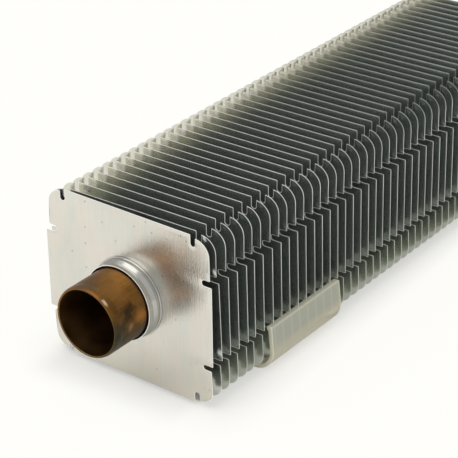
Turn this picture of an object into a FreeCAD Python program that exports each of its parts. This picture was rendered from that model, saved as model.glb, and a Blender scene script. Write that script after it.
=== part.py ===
"""Baseboard heating element: a copper water tube pressed through a row of aluminium fins.

Frame: the tube runs along Y with its open end in front at -Y, X is to the right and Z is up.
The origin is under the middle of the element, on the surface that the glides stand on.
All sizes are in millimetres.
"""
import FreeCAD, Part
import os

import Sketcher

# Driving dimensions
# Each one is written once here and read everywhere else by its name in the sheet.
SIZES = [
    ("tube_outer", 22.225, "outside of the water tube, the 3/4 inch nominal size"),
    ("tube_wall", 0.8, "wall of the water tube"),
    ("tube_bare", 17.7, "bare tube past the first and the last fin place, for the fitting"),
    ("tube_rim", 0.35, "edge that the tube cutter rolls in at each end"),
    ("fin_total", 48, "number of fins, eight inches of them"),
    ("fin_pitch", 4.23, "from one fin to the next, 72 fins in a foot"),
    ("fin_width", 61.9, "across a fin"),
    ("fin_height", 55.0, "height of a fin"),
    ("fin_gauge", 0.25, "sheet that the fins are stamped from"),
    ("first_push", 1.1, "how far the first fin has been knocked towards the second"),
    ("slot_across", 7.45, "from a fin's side edge to the far wall of the slots above and below"),
    ("slot_along", 14.6, "from a fin's top or bottom edge to the far wall of the side slots"),
    ("slot_width", 1.7, "width of the eight edge slots"),
    ("slot_depth", 3.6, "depth of the edge slots, from the straight stretch inwards"),
    ("lobe_inset", 0.8, "how far the corner lobes stand back from the straight stretches"),
    ("lobe_radius", 5.2, "corner of a lobe"),
    ("neck_radius", 12.0, "collar where it leaves the sheet"),
    ("foot_round", 0.35, "how far out from the neck the sheet starts to rise"),
    ("bead_swell", 0.35, "how far the collar's bead stands out from its neck"),
    ("bead_rise", 1.7, "height of the bead"),
    ("waist_drop", 1.3, "from the bead to where the collar closes on the tube"),
    ("grip_length", 0.5, "how much of the collar grips the tube"),
    ("lip_length", 1.4, "from the grip to the rim of the lip that opens again"),
    ("lip_gap", 0.55, "gap between the lip and the tube"),
    ("glide_wall", 1.15, "wall of a glide clip"),
    ("glide_gap", 0.8, "gap between a corner lobe and the inside of a glide"),
    ("glide_length", 35.8, "length of a glide clip along the tube"),
    ("glide_start", 28.1, "from the first fin place to the near end of the first glide"),
    ("glide_every", 30, "fins from one glide to the next, which is every five inches"),
    ("glide_hook", 1.2, "reach of the glide's hooked edges into the slots, past the fin edge"),
    ("glide_lean", 0.7, "how far the side wall of a glide leans in at its top"),
    ("glide_round", 0.9, "rounded corner at the far end of a glide's side wall"),
]

doc = FreeCAD.newDocument("heating_element")
sheet = doc.addObject("Spreadsheet::Sheet", "Sizes")
for row, (alias, value, meaning) in enumerate(SIZES, start=1):
    sheet.set("A%d" % row, meaning)
    sheet.set("B%d" % row, str(value))
    sheet.setAlias("B%d" % row, alias)
doc.recompute()

FIN_TOTAL = int(sheet.fin_total)


def new_body(label):
    """A body whose own frame has the tube's axis as Y, through its origin."""
    body = doc.addObject("PartDesign::Body", label)
    body.Label = label
    return body


def new_sketch(body, role, name):
    """A sketch on one of the body's own origin planes."""
    plane = next(f for f in body.Origin.OriginFeatures if f.Role == role)
    sketch = body.newObject("Sketcher::SketchObject", name)
    sketch.AttachmentSupport = [(plane, "")]
    sketch.MapMode = "FlatFace"
    return sketch


def pin(sketch, kind, edge, point, expression):
    """Hold one coordinate of a point of the sketch at a value from the sheet."""
    value = float(sketch.evalExpression(expression))
    index = sketch.addConstraint(Sketcher.Constraint(kind, edge, point, value))
    sketch.setExpression("Constraints[%d]" % index, expression)


def draw_outline(sketch, corners):
    """Draw a closed outline through corners given as expressions.

    A corner is (x, y), or (x, y, centre_x, centre_y, turn) where an arc leaves it; turn is 1
    for an arc that runs counterclockwise and -1 for one that runs clockwise.
    """
    total = len(corners)
    spots = [FreeCAD.Vector(float(sketch.evalExpression(c[0])), float(sketch.evalExpression(c[1])))
             for c in corners]
    ends = []
    for i, corner in enumerate(corners):
        start, stop = spots[i], spots[(i + 1) % total]
        if len(corner) == 2:
            sketch.addGeometry(Part.LineSegment(start, stop), False)
            ends.append((1, 2))
            continue
        centre_x, centre_y, turn = corner[2:]
        centre = FreeCAD.Vector(float(sketch.evalExpression(centre_x)),
                                float(sketch.evalExpression(centre_y)))
        circle = Part.Circle(centre, FreeCAD.Vector(0, 0, 1), centre.distanceToPoint(start))
        first, last = (start, stop) if turn > 0 else (stop, start)
        sketch.addGeometry(Part.ArcOfCircle(circle, circle.parameter(first),
                                            circle.parameter(last)), False)
        ends.append((1, 2) if turn > 0 else (2, 1))
    for i in range(total):
        following = (i + 1) % total
        sketch.addConstraint(Sketcher.Constraint("Coincident", i, ends[i][1],
                                                 following, ends[following][0]))
    for i, corner in enumerate(corners):
        pin(sketch, "DistanceX", i, ends[i][0], corner[0])
        pin(sketch, "DistanceY", i, ends[i][0], corner[1])
        if len(corner) > 2:
            chord = spots[(i + 1) % total] - spots[i]
            level = abs(chord.x) > abs(chord.y)
            pin(sketch, "DistanceY" if level else "DistanceX", i, 3, corner[3 if level else 2])


def rectangle(half_x, half_y):
    """Corners of a rectangle about the sketch's origin."""
    return [(half_x, "-(%s)" % half_y), (half_x, half_y),
            ("-(%s)" % half_x, half_y), ("-(%s)" % half_x, "-(%s)" % half_y)]


def pad(body, sketch, name, length, backwards=False):
    """Pad a sketch by a length from the sheet, towards +Y unless it goes backwards."""
    feature = body.newObject("PartDesign::Pad", name)
    feature.Profile = sketch
    feature.setExpression("Length", length)
    feature.Reversed = not backwards
    doc.recompute()
    return feature


def through_pocket(body, sketch, name):
    """Cut a sketch right through the sheet and check that it took something away."""
    before = body.Shape.Volume
    feature = body.newObject("PartDesign::Pocket", name)
    feature.Profile = sketch
    feature.Type = "ThroughAll"
    feature.Midplane = True
    doc.recompute()
    if body.Shape.Volume >= before:
        raise ValueError("%s cut nothing" % name)
    return feature


# Places on a fin, measured from the tube's axis
HALF_WIDTH = "Sizes.fin_width / 2"
HALF_HEIGHT = "Sizes.fin_height / 2"
LONG_END = "Sizes.fin_width / 2 - Sizes.slot_across"
SHORT_END = "Sizes.fin_height / 2 - Sizes.slot_along"
LONG_FAR = "%s + Sizes.slot_width" % LONG_END
SHORT_FAR = "%s + Sizes.slot_width" % SHORT_END
LOBE_SIDE = "Sizes.fin_width / 2 - Sizes.lobe_inset"
LOBE_TOP = "Sizes.fin_height / 2 - Sizes.lobe_inset"
TUBE_RADIUS = "Sizes.tube_outer / 2"
FOOT_RADIUS = "(Sizes.neck_radius + Sizes.foot_round)"


def slot_corners(entry, run_end, upright):
    """A round-ended slot that comes in from an edge at distance entry from the axis."""
    bend = "Sizes.slot_width / 2"
    outer = "%s + 1" % entry
    turn_at = "%s - Sizes.slot_depth + %s" % (entry, bend)
    near, far = run_end, "%s + Sizes.slot_width" % run_end
    middle = "%s + %s" % (run_end, bend)
    if upright:
        return [(near, outer), (near, turn_at, middle, turn_at, 1),
                (far, turn_at), (far, outer)]
    return [(outer, near), (outer, far), (turn_at, far, turn_at, middle, 1), (turn_at, near)]


def round_fin(label):
    """The first fin in full: lobed sheet, eight round-ended slots and the drawn collar."""
    body = new_body(label)
    lobes = new_sketch(body, "XZ_Plane", label + "_lobe_outline")
    draw_outline(lobes, rectangle(LOBE_SIDE, LOBE_TOP))
    sheet_pad = pad(body, lobes, label + "_lobes", "Sizes.fin_gauge")
    upright = [i for i, edge in enumerate(sheet_pad.Shape.Edges, start=1)
               if abs(edge.tangentAt(edge.FirstParameter).y) > 0.9]
    rounding = body.newObject("PartDesign::Fillet", label + "_lobe_rounding")
    rounding.Base = (sheet_pad, ["Edge%d" % i for i in upright])
    rounding.setExpression("Radius", "Sizes.lobe_radius")
    doc.recompute()
    for name, half_x, half_y in (("sides", HALF_WIDTH, SHORT_END), ("top", LONG_END, HALF_HEIGHT)):
        stretch = new_sketch(body, "XZ_Plane", "%s_%s_outline" % (label, name))
        draw_outline(stretch, rectangle(half_x, half_y))
        pad(body, stretch, "%s_%s" % (label, name), "Sizes.fin_gauge")
    for name, entry, run_end, stands in (("top_slot", HALF_HEIGHT, LONG_END, True),
                                         ("side_slot", HALF_WIDTH, SHORT_END, False)):
        cut_all_four(body, label, name, slot_corners(entry, run_end, stands))
    hole = new_sketch(body, "XZ_Plane", label + "_hole_outline")
    hole.addGeometry(Part.Circle(FreeCAD.Vector(), FreeCAD.Vector(0, 0, 1), 15), False)
    hole.addConstraint(Sketcher.Constraint("Coincident", 0, 3, -1, 1))
    index = hole.addConstraint(Sketcher.Constraint("Radius", 0, 15))
    hole.setExpression("Constraints[%d]" % index, FOOT_RADIUS + " - Sizes.fin_gauge")
    through_pocket(body, hole, label + "_hole")
    profile = new_sketch(body, "XY_Plane", label + "_collar_profile")
    draw_outline(profile, collar_section())
    collar = body.newObject("PartDesign::Revolution", label + "_collar")
    collar.Profile = profile
    collar.ReferenceAxis = (profile, ["V_Axis"])
    collar.Angle = 360
    doc.recompute()
    return body


def cut_all_four(body, label, name, corners):
    """Cut one slot and mirror the cut to the other three corners."""
    sketch = new_sketch(body, "XZ_Plane", "%s_%s_outline" % (label, name))
    draw_outline(sketch, corners)
    cut = through_pocket(body, sketch, "%s_%s" % (label, name))
    mirrors = body.newObject("PartDesign::MultiTransform", "%s_%s_mirrors" % (label, name))
    mirrors.Originals = [cut]
    steps = []
    for role in ("YZ_Plane", "XY_Plane"):
        plane = next(f for f in body.Origin.OriginFeatures if f.Role == role)
        step = doc.addObject("PartDesign::Mirrored", "%s_%s_%s" % (label, name, role[:2].lower()))
        step.MirrorPlane = (plane, [""])
        steps.append(step)
    mirrors.Transformations = steps
    body.Tip = mirrors
    doc.recompute()


def collar_section():
    """Half section of the collar that is drawn from the first fin, as one thin wall.

    It rises steeply from the sheet as a neck, swells to a low bead, narrows to the waist that
    grips the tube, and opens again at its lip.
    """
    gauge = "Sizes.fin_gauge"
    neck = "Sizes.neck_radius"
    bead = "%s + Sizes.bead_swell" % neck
    lip = "%s + Sizes.lip_gap" % TUBE_RADIUS
    waist_rise = "Sizes.bead_rise + Sizes.waist_drop"
    lip_rise = "%s + Sizes.grip_length" % waist_rise
    rim_rise = "%s + Sizes.lip_length" % lip_rise
    return [
        (FOOT_RADIUS, "0"),
        (neck, "-Sizes.foot_round"),
        (bead, "-Sizes.bead_rise"),
        ("%s + %s" % (TUBE_RADIUS, gauge), "-(%s)" % waist_rise),
        ("%s + %s" % (TUBE_RADIUS, gauge), "-(%s)" % lip_rise),
        ("%s + %s" % (lip, gauge), "-(%s)" % rim_rise),
        (lip, "-(%s)" % rim_rise),
        (TUBE_RADIUS, "-(%s)" % lip_rise),
        (TUBE_RADIUS, "-(%s)" % waist_rise),
        ("%s - %s" % (bead, gauge), "-Sizes.bead_rise"),
        ("%s - %s" % (neck, gauge), "-Sizes.foot_round + %s" % gauge),
        ("%s - %s" % (FOOT_RADIUS, gauge), gauge),
        (FOOT_RADIUS, gauge),
    ]


def polygon(radius, sides):
    """Corners of a regular polygon whose flats touch a circle of the given radius."""
    half_step = 180.0 / sides
    reach = "(%s) / cos(%g deg)" % (radius, half_step)
    return [("%s * cos(%g deg)" % (reach, half_step * (2 * i + 1)),
             "%s * sin(%g deg)" % (reach, half_step * (2 * i + 1))) for i in range(sides)]


def plain_quarter(lobe_corners):
    """The upper right quarter of a fin's edge in straight lines, clockwise from the top.

    The lobe's arc is drawn as that many corners, whose sides touch it.
    """
    slot_floor = "%s - Sizes.slot_depth" % HALF_HEIGHT
    slot_end = "%s - Sizes.slot_depth" % HALF_WIDTH
    half_step = 45.0 / lobe_corners
    reach = "Sizes.lobe_radius / cos(%g deg)" % half_step
    angles = [90 - half_step * (2 * i + 1) for i in range(lobe_corners)]
    lobe = [("%s - Sizes.lobe_radius + %s * cos(%g deg)" % (LOBE_SIDE, reach, angle),
             "%s - Sizes.lobe_radius + %s * sin(%g deg)" % (LOBE_TOP, reach, angle))
            for angle in angles]
    return ([(LONG_END, HALF_HEIGHT), (LONG_END, slot_floor), (LONG_FAR, slot_floor),
             (LONG_FAR, LOBE_TOP)] + lobe +
            [(LOBE_SIDE, SHORT_FAR), (slot_end, SHORT_FAR), (slot_end, SHORT_END),
             (HALF_WIDTH, SHORT_END)])


def plain_fin(label, collar_sides, lobe_corners):
    """The same sheet and slots in straight lines, with a collar as high as the bead."""
    body = new_body(label)
    quarter = plain_quarter(lobe_corners)
    flip_x = [("-(%s)" % x, y) for x, y in reversed(quarter)]
    flip_y = [(x, "-(%s)" % y) for x, y in reversed(quarter)]
    flip_both = [("-(%s)" % x, "-(%s)" % y) for x, y in quarter]
    outline = new_sketch(body, "XZ_Plane", label + "_outline")
    draw_outline(outline, quarter + flip_y + flip_both + flip_x)
    pad(body, outline, label + "_sheet", "Sizes.fin_gauge")
    collar = new_sketch(body, "XZ_Plane", label + "_collar_outline")
    draw_outline(collar, polygon("Sizes.neck_radius", collar_sides))
    pad(body, collar, label + "_collar", "Sizes.bead_rise", backwards=True)
    bore = new_sketch(body, "XZ_Plane", label + "_bore_outline")
    draw_outline(bore, polygon(TUBE_RADIUS, collar_sides))
    through_pocket(body, bore, label + "_bore")
    return body


def copy_of(master, label):
    """A repeat of a body, which follows every change of its master."""
    body = new_body(label)
    repeat = body.newObject("PartDesign::FeatureBase", label + "_repeat")
    repeat.BaseFeature = master
    body.Tip = repeat
    return body


def place(body, along, turned=False):
    """Put a body, whose own origin lies on the tube's axis, at its place along the tube."""
    if turned:
        body.Placement = FreeCAD.Placement(FreeCAD.Vector(),
                                           FreeCAD.Rotation(FreeCAD.Vector(0, 0, 1), 180))
    body.setExpression("Placement.Base.y", along)
    body.setExpression("Placement.Base.z", AXIS_HEIGHT)


# Height of the tube's axis over the surface that the glides stand on
AXIS_HEIGHT = "%s - Sizes.lobe_inset + Sizes.glide_gap + Sizes.glide_wall" % HALF_HEIGHT
STACK_HALF = "(Sizes.fin_total - 1) * Sizes.fin_pitch / 2"

# Water tube
# A ring is padded to the full length and both outer rims are rolled in.
tube = new_body("water_tube")
ring = new_sketch(tube, "XZ_Plane", "tube_section")
for edge, size in enumerate((TUBE_RADIUS, "%s - Sizes.tube_wall" % TUBE_RADIUS)):
    start = float(ring.evalExpression(size))
    ring.addGeometry(Part.Circle(FreeCAD.Vector(), FreeCAD.Vector(0, 0, 1), start), False)
    ring.addConstraint(Sketcher.Constraint("Coincident", edge, 3, -1, 1))
    number = ring.addConstraint(Sketcher.Constraint("Radius", edge, start))
    ring.setExpression("Constraints[%d]" % number, size)
run = tube.newObject("PartDesign::Pad", "tube_run")
run.Profile = ring
run.Midplane = True
run.setExpression("Length", "2 * (%s + Sizes.tube_bare)" % STACK_HALF)
doc.recompute()
outer_rims = [i for i, edge in enumerate(run.Shape.Edges, start=1)
              if edge.Curve.TypeId == "Part::GeomCircle"
              and abs(edge.Curve.Radius - sheet.tube_outer / 2) < 0.01]
rims = tube.newObject("PartDesign::Chamfer", "tube_rims")
rims.Base = (run, ["Edge%d" % i for i in outer_rims])
rims.setExpression("Size", "Sizes.tube_rim")
place(tube, "0")

# Fins
# The first one shows its face and its collar, so it is made in full. The last shows its flat
# side, and those between them only their edges, so they are drawn in straight lines: there are
# so many that each has to be light.
fins = []
for number in range(FIN_TOTAL):
    label = "fin_%02d" % (number + 1)
    if number == 0:
        fin = round_fin(label)
    elif number == FIN_TOTAL - 1:
        fin = plain_fin(label, 16, 3)
    elif number == 1:
        fin = plain_fin(label, 6, 2)
    else:
        fin = copy_of(fins[1], label)
    push = " + Sizes.first_push" if number == 0 else ""
    place(fin, "%d * Sizes.fin_pitch - %s%s" % (number, STACK_HALF, push))
    fins.append(fin)


def glide_clip(label):
    """A moulded clip round the lower right corner lobes, hooked into both slots there."""
    body = new_body(label)
    lobe_x = "%s - Sizes.lobe_radius" % LOBE_SIDE
    lobe_y = "-(%s - Sizes.lobe_radius)" % LOBE_TOP
    outer = "Sizes.lobe_radius + Sizes.glide_gap + Sizes.glide_wall"
    inner = "Sizes.lobe_radius + Sizes.glide_gap"
    side_out = "%s + %s" % (lobe_x, outer)
    side_in = "%s + %s" % (lobe_x, inner)
    under_out = "%s - (%s)" % (lobe_y, outer)
    under_in = "%s - (%s)" % (lobe_y, inner)
    hook_x = "%s - Sizes.glide_hook" % HALF_WIDTH
    hook_y = "-(%s) + Sizes.glide_hook" % HALF_HEIGHT
    shelf = "-(%s)" % SHORT_END
    keel = LONG_END
    corners = [
        (hook_x, shelf),
        (hook_x, "%s - Sizes.glide_wall" % shelf),
        ("%s - Sizes.glide_lean" % side_in, "%s - Sizes.glide_wall" % shelf),
        (side_in, lobe_y, lobe_x, lobe_y, -1),
        (lobe_x, under_in),
        ("%s + Sizes.glide_wall" % keel, under_in),
        ("%s + Sizes.glide_wall" % keel, hook_y),
        (keel, hook_y),
        (keel, under_out),
        (lobe_x, under_out, lobe_x, lobe_y, 1),
        (side_out, lobe_y),
        ("%s - Sizes.glide_lean" % side_out, shelf),
    ]
    section = new_sketch(body, "XZ_Plane", label + "_section")
    draw_outline(section, corners)
    wall = pad(body, section, label + "_wall", "Sizes.glide_length")
    shelf_height = float(section.evalExpression(shelf))
    far_edge = [i for i, edge in enumerate(wall.Shape.Edges, start=1)
                if abs(edge.BoundBox.ZMin - shelf_height) < 0.01
                and edge.BoundBox.ZLength < 0.01
                and abs(edge.BoundBox.YMin - sheet.glide_length) < 0.01]
    rounding = body.newObject("PartDesign::Fillet", label + "_rounding")
    rounding.Base = (wall, ["Edge%d" % i for i in far_edge])
    rounding.setExpression("Radius", "Sizes.glide_round")
    doc.recompute()
    return body


# Glides
# One moulding serves both sides, so each left one is a right one turned end for end.
glide = glide_clip("glide_front_right")
near = "Sizes.glide_start - %s" % STACK_HALF
far = "%s + Sizes.glide_length" % near
step = "Sizes.glide_every * Sizes.fin_pitch"
place(glide, near)
glides = [glide]
for label, along, turned in (("glide_front_left", far, True),
                             ("glide_rear_right", "%s + %s" % (near, step), False),
                             ("glide_rear_left", "%s + %s" % (far, step), True)):
    other = copy_of(glide, label)
    place(other, along, turned)
    glides.append(other)

doc.recompute()

# Check every object, then write one file for each piece
pieces = [tube] + fins + glides
for item in doc.Objects:
    if "Invalid" in item.State or "Error" in item.State:
        raise ValueError("%s did not rebuild: %s" % (item.Label, item.State))
for piece in pieces:
    if piece.Shape.isNull() or not piece.Shape.isValid() or len(piece.Shape.Solids) != 1:
        raise ValueError("%s is not one sound solid" % piece.Label)

os.makedirs("parts", exist_ok=True)
for piece in pieces:
    piece.Shape.exportStep("parts/%s.step" % piece.Label)
whole = Part.makeCompound([piece.Shape for piece in pieces]).BoundBox
print("%d pieces, %.1f x %.1f x %.1f mm, lowest point %.2f"
      % (len(pieces), whole.XLength, whole.YLength, whole.ZLength, whole.ZMin))
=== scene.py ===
# %% [markdown]
# # A baseboard heating element
# Hot water runs through a copper tube, and a row of thin aluminium fins pressed onto the tube
# passes the heat on to the air of the room. Moulded glides under the fins let the element slide
# without a squeak as it grows and shrinks.
#
# The solids come first, as a fixed frame. Each piece below is then made again with the detail
# that a solid model leaves out, in the same place and to the same size.

# %% Load the solids
import bpy
import bmesh
import math
from mathutils import Matrix, Vector, geometry, noise


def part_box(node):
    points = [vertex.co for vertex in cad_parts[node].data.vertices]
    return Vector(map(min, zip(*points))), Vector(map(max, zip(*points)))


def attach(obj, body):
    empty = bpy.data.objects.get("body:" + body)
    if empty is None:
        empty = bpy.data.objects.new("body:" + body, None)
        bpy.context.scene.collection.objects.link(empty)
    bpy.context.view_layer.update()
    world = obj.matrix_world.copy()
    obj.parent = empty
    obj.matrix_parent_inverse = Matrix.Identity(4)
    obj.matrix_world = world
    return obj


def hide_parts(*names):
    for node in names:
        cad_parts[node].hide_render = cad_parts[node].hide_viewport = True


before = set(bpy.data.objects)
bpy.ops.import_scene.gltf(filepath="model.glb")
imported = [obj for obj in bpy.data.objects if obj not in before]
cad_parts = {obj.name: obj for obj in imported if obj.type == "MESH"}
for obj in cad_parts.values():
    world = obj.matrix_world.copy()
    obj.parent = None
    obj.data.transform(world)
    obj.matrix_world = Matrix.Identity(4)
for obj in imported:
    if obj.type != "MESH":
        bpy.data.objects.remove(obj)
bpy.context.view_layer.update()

# %% [markdown]
# ## Where things are
# Blender works in metres, and sheet metal is thought of in millimetres. So the sizes are written
# in millimetres and turned into metres where a mesh is made. The tube's axis and the place of the
# first fin are read from the solids, so that nothing has to be fitted by eye.

# %% Places read from the solids
MM = 0.001
tube_low, tube_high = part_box("water_tube")
AXIS = (tube_low[2] + tube_high[2]) / 2 / MM
TUBE_END = tube_high[1] / MM
GAUGE = 0.25
PITCH = 4.23
FIRST_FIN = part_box("fin_01")[1][1] / MM - GAUGE
SECOND_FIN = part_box("fin_02")[1][1] / MM - GAUGE
FIN_TOTAL = 48
print("axis %.2f mm up, tube end at %.2f, first fin at %.2f, second at %.2f"
      % (AXIS, TUBE_END, FIRST_FIN, SECOND_FIN))

# %% [markdown]
# ## The camera
# The photograph was taken from the right and a little above, from near enough that the far fins
# look smaller. The angles and the distance come from matching one view to the corners of the
# fins and to the rim of the tube.

# %% Camera
VIEW_TURN = math.radians(37.513)
VIEW_RISE = math.radians(27.809)
VIEW_ROLL = math.radians(-1.072)
VIEW_SHIFT = (29.744, 19.961)
VIEW_DISTANCE = 521.386
VIEW_LENS, SENSOR_WIDTH = 141.57, 36
FIRST_PLACE = SECOND_FIN - PITCH

back = Vector((math.sin(VIEW_TURN) * math.cos(VIEW_RISE),
               -math.cos(VIEW_TURN) * math.cos(VIEW_RISE), math.sin(VIEW_RISE)))
level_right = Vector((math.cos(VIEW_TURN), math.sin(VIEW_TURN), 0))
level_up = back.cross(level_right)
right = level_right * math.cos(VIEW_ROLL) + level_up * math.sin(VIEW_ROLL)
up = level_up * math.cos(VIEW_ROLL) - level_right * math.sin(VIEW_ROLL)
aim = Vector((0, FIRST_PLACE, AXIS))
stand = aim + right * VIEW_SHIFT[0] + up * VIEW_SHIFT[1] + back * VIEW_DISTANCE

camera = bpy.data.objects.new("camera", bpy.data.cameras.new("camera"))
bpy.context.scene.collection.objects.link(camera)
camera.data.sensor_width = SENSOR_WIDTH
camera.data.lens = VIEW_LENS
camera.data.clip_start = 0.01
camera.data.clip_end = 20
turn = Matrix((right, up, back)).transposed()
camera.matrix_world = Matrix.Translation(stand * MM) @ turn.to_4x4()
bpy.context.scene.camera = camera
print("camera %.0f mm from the first fin" % VIEW_DISTANCE)

# %% [markdown]
# ## Helpers for nodes
# A material or a Geometry Nodes tree is a network, and a few small helpers keep it readable. They
# add a node and set it, do one sum, split a place into its coordinates, mix two colours, make a
# group with named sockets, and start a material.

# %% Helpers that add a node
def node(tree, kind, inputs=None, **settings):
    """Add a node, give its settings, and fill or connect its inputs by name or number."""
    made = tree.nodes.new(kind)
    for name, value in settings.items():
        setattr(made, name, value)
    for name, value in (inputs or {}).items():
        if isinstance(value, bpy.types.NodeSocket):
            tree.links.new(value, made.inputs[name])
        else:
            made.inputs[name].default_value = value
    return made


def maths(tree, operation, first, second=0.0, clamp=False):
    """One sum on two numbers or sockets."""
    return node(tree, "ShaderNodeMath", {0: first, 1: second},
                operation=operation, use_clamp=clamp).outputs[0]


print("helpers: node, maths")


# %% Helpers for coordinates and groups
def axes(tree, place):
    """The coordinates of a place, as the sockets X, Y and Z."""
    return node(tree, "ShaderNodeSeparateXYZ", {0: place}).outputs


def new_group(name, kind, inputs, outputs):
    """A node group with its sockets; inputs are (name, socket type, value)."""
    tree = bpy.data.node_groups.new(name, kind)
    for label, socket, value in inputs:
        made = tree.interface.new_socket(name=label, in_out="INPUT", socket_type=socket)
        if value is not None:
            made.default_value = value
    for label, socket in outputs:
        tree.interface.new_socket(name=label, in_out="OUTPUT", socket_type=socket)
    return tree, tree.nodes.new("NodeGroupInput"), tree.nodes.new("NodeGroupOutput")


print("helpers: axes, new_group")


# %% Helpers for colours and materials
def mix_colour(tree, amount, first, second):
    """A colour between two others."""
    made = node(tree, "ShaderNodeMix", {"Factor": amount}, data_type="RGBA")
    for socket, value in ((made.inputs[6], first), (made.inputs[7], second)):
        if isinstance(value, bpy.types.NodeSocket):
            tree.links.new(value, socket)
        else:
            socket.default_value = (*value, 1)
    return made.outputs[2]


def overlay(tree, tone, mask, amount, colour):
    """Lay a colour over a tone where a mask is high, as strongly as the amount says."""
    return mix_colour(tree, maths(tree, "MULTIPLY", mask, amount), tone, colour)


def new_material(name, **constants):
    """A material with one Principled shader whose constant sockets are given by name."""
    material = bpy.data.materials.new(name)
    material.use_nodes = True
    tree = material.node_tree
    shader = tree.nodes["Principled BSDF"]
    for label, value in constants.items():
        shader.inputs[label.replace("_", " ")].default_value = value
    place = node(tree, "ShaderNodeTexCoord").outputs["Object"]
    return material, tree, shader, place


print("helpers: mix_colour, overlay, new_material")

# %% [markdown]
# ## Effects that several finishes share
# Rolled sheet, drawn tube and moulded nylon have a grain, a slow cloudiness of tone and small
# specks, and the tube has stains as well. Each effect is made once as a group that gives out a
# mask, and each material sets how fine and how strong it is.

# %% Grain: streaks along one direction
FLOAT = "NodeSocketFloat"
VECTOR = "NodeSocketVector"
grain_group, start, stop = new_group("streaky grain", "ShaderNodeTree",
                                     [("Place", VECTOR, None), ("Fineness", VECTOR, (1, 1, 1))],
                                     [("Mask", FLOAT)])
stretched = node(grain_group, "ShaderNodeMapping",
                 {"Vector": start.outputs["Place"], "Scale": start.outputs["Fineness"]})
streaks = node(grain_group, "ShaderNodeTexNoise",
               {"Vector": stretched.outputs[0], "Scale": 1.0, "Detail": 3.0, "Roughness": 0.6})
grain_group.links.new(streaks.outputs["Fac"], stop.inputs["Mask"])
print("made the group %s" % grain_group.name)

# %% Clouds: a slow change of tone
cloud_group, start, stop = new_group("cloudy tone", "ShaderNodeTree",
                                     [("Place", VECTOR, None), ("Scale", FLOAT, 60.0),
                                      ("Contrast", FLOAT, 2.0)], [("Mask", FLOAT)])
clouds = node(cloud_group, "ShaderNodeTexNoise",
              {"Vector": start.outputs["Place"], "Scale": start.outputs["Scale"],
               "Detail": 4.0, "Roughness": 0.55})
swing = maths(cloud_group, "MULTIPLY",
              maths(cloud_group, "SUBTRACT", clouds.outputs["Fac"], 0.5),
              start.outputs["Contrast"])
cloud_group.links.new(maths(cloud_group, "ADD", swing, 0.5, clamp=True), stop.inputs["Mask"])
print("made the group %s" % cloud_group.name)

# %% Specks: pits and grains of dust, few and small
speck_group, start, stop = new_group("specks", "ShaderNodeTree",
                                     [("Place", VECTOR, None), ("Scale", FLOAT, 500.0),
                                      ("Size", FLOAT, 0.15), ("Share", FLOAT, 0.2)],
                                     [("Mask", FLOAT)])
cells = node(speck_group, "ShaderNodeTexVoronoi",
             {"Vector": start.outputs["Place"], "Scale": start.outputs["Scale"]})
chosen = node(speck_group, "ShaderNodeSeparateColor", {"Color": cells.outputs["Color"]})
picked = maths(speck_group, "LESS_THAN", chosen.outputs["Red"], start.outputs["Share"])
speck_size = maths(speck_group, "MULTIPLY", start.outputs["Size"], chosen.outputs["Green"])
within = maths(speck_group, "SUBTRACT", speck_size, cells.outputs["Distance"])
speck = maths(speck_group, "DIVIDE", within, speck_size, clamp=True)
speck_group.links.new(maths(speck_group, "MULTIPLY", speck, picked), stop.inputs["Mask"])
print("made the group %s" % speck_group.name)

# %% Patch: a stain or a rubbed place, with a ragged rim
patch_group, start, stop = new_group("patch", "ShaderNodeTree",
                                     [("Place", VECTOR, None), ("Centre", VECTOR, (0, 0, 0)),
                                      ("Squeeze", VECTOR, (1, 1, 1)), ("Size", FLOAT, 0.003),
                                      ("Ragged", FLOAT, 1.6)], [("Mask", FLOAT)])
offset = node(patch_group, "ShaderNodeVectorMath",
              {0: start.outputs["Place"], 1: start.outputs["Centre"]}, operation="SUBTRACT")
squeezed = node(patch_group, "ShaderNodeVectorMath",
                {0: offset.outputs[0], 1: start.outputs["Squeeze"]}, operation="MULTIPLY")
apart = node(patch_group, "ShaderNodeVectorMath", {0: squeezed.outputs[0]}, operation="LENGTH")
ragged = node(patch_group, "ShaderNodeTexNoise",
              {"Vector": start.outputs["Place"], "Scale": 380.0, "Detail": 5.0, "Roughness": 0.65})
wander = maths(patch_group, "MULTIPLY",
               maths(patch_group, "SUBTRACT", ragged.outputs["Fac"], 0.5),
               maths(patch_group, "MULTIPLY", start.outputs["Size"], start.outputs["Ragged"]))
inside = node(patch_group, "ShaderNodeMapRange",
              {"Value": maths(patch_group, "ADD", apart.outputs["Value"], wander),
               "From Min": start.outputs["Size"], "From Max": 0.0},
              interpolation_type="SMOOTHSTEP")
patch_group.links.new(inside.outputs["Result"], stop.inputs["Mask"])
print("made the group %s" % patch_group.name)

# %% Helpers that the finishes use
def effect(tree, group, **inputs):
    """Place a shared effect in a material and return its mask."""
    return node(tree, "ShaderNodeGroup", inputs, node_tree=group).outputs["Mask"]


def ramp(tree, value, nought_at, one_at):
    """A smooth rise from nought to one, between two values of a number."""
    return node(tree, "ShaderNodeMapRange",
                {"Value": value, "From Min": nought_at, "From Max": one_at},
                interpolation_type="SMOOTHSTEP").outputs["Result"]


def from_axis(tree, place):
    """How far a place is from the tube's axis, in metres."""
    offset = node(tree, "ShaderNodeVectorMath", {0: place, 1: (0, 0, AXIS * MM)},
                  operation="SUBTRACT")
    across = node(tree, "ShaderNodeVectorMath", {0: offset.outputs[0], 1: (1, 0, 1)},
                  operation="MULTIPLY")
    return node(tree, "ShaderNodeVectorMath", {0: across.outputs[0]},
                operation="LENGTH").outputs["Value"]


def roughness_between(tree, shader, mask, low, high):
    """Let a mask move the roughness between two values."""
    spread = node(tree, "ShaderNodeMapRange", {"Value": mask, "To Min": low, "To Max": high})
    tree.links.new(spread.outputs["Result"], shader.inputs["Roughness"])


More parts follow.
